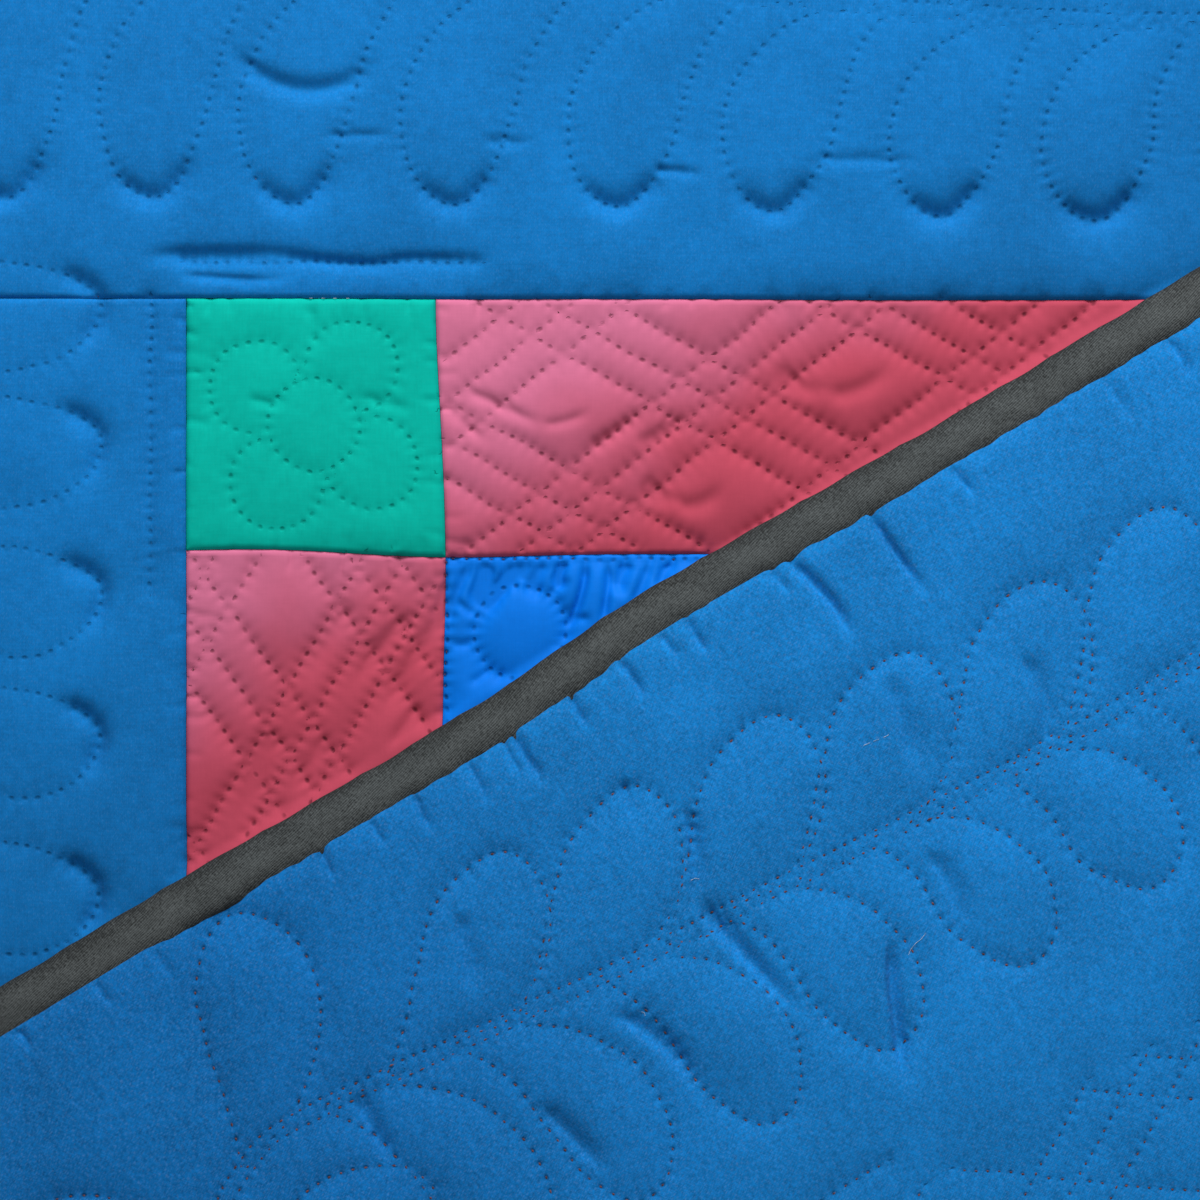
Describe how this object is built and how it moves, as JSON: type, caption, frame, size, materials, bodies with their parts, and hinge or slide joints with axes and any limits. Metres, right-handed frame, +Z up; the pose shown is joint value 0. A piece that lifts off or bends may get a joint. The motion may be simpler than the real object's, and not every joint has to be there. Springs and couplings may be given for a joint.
{
  "type": "quilted wall hanging",
  "caption": "Square quilted wall hanging in plain solid cloths with a bound edge, lying face up with its right side folded over at a slant so that its back shows.",
  "frame": {"origin": "middle of the folded quilt seen from above, on the surface it lies on", "axes": "+X to the quilt's right, +Y to its top edge, +Z up out of the front"},
  "size_m": [0.7264, 0.7913, 0.016],
  "materials": {
    "quilt_cloth": "matt plain woven cotton, in blue with rose, green and bright blue patches",
    "binding_cloth": "charcoal fine twill with a soft sheen"
  },
  "bodies": {
    "root": {"quilt": "quilt_cloth", "binding_top": "binding_cloth", "binding_bottom": "binding_cloth", "binding_left": "binding_cloth", "binding_right": "binding_cloth"}
  },
  "joints": []
}
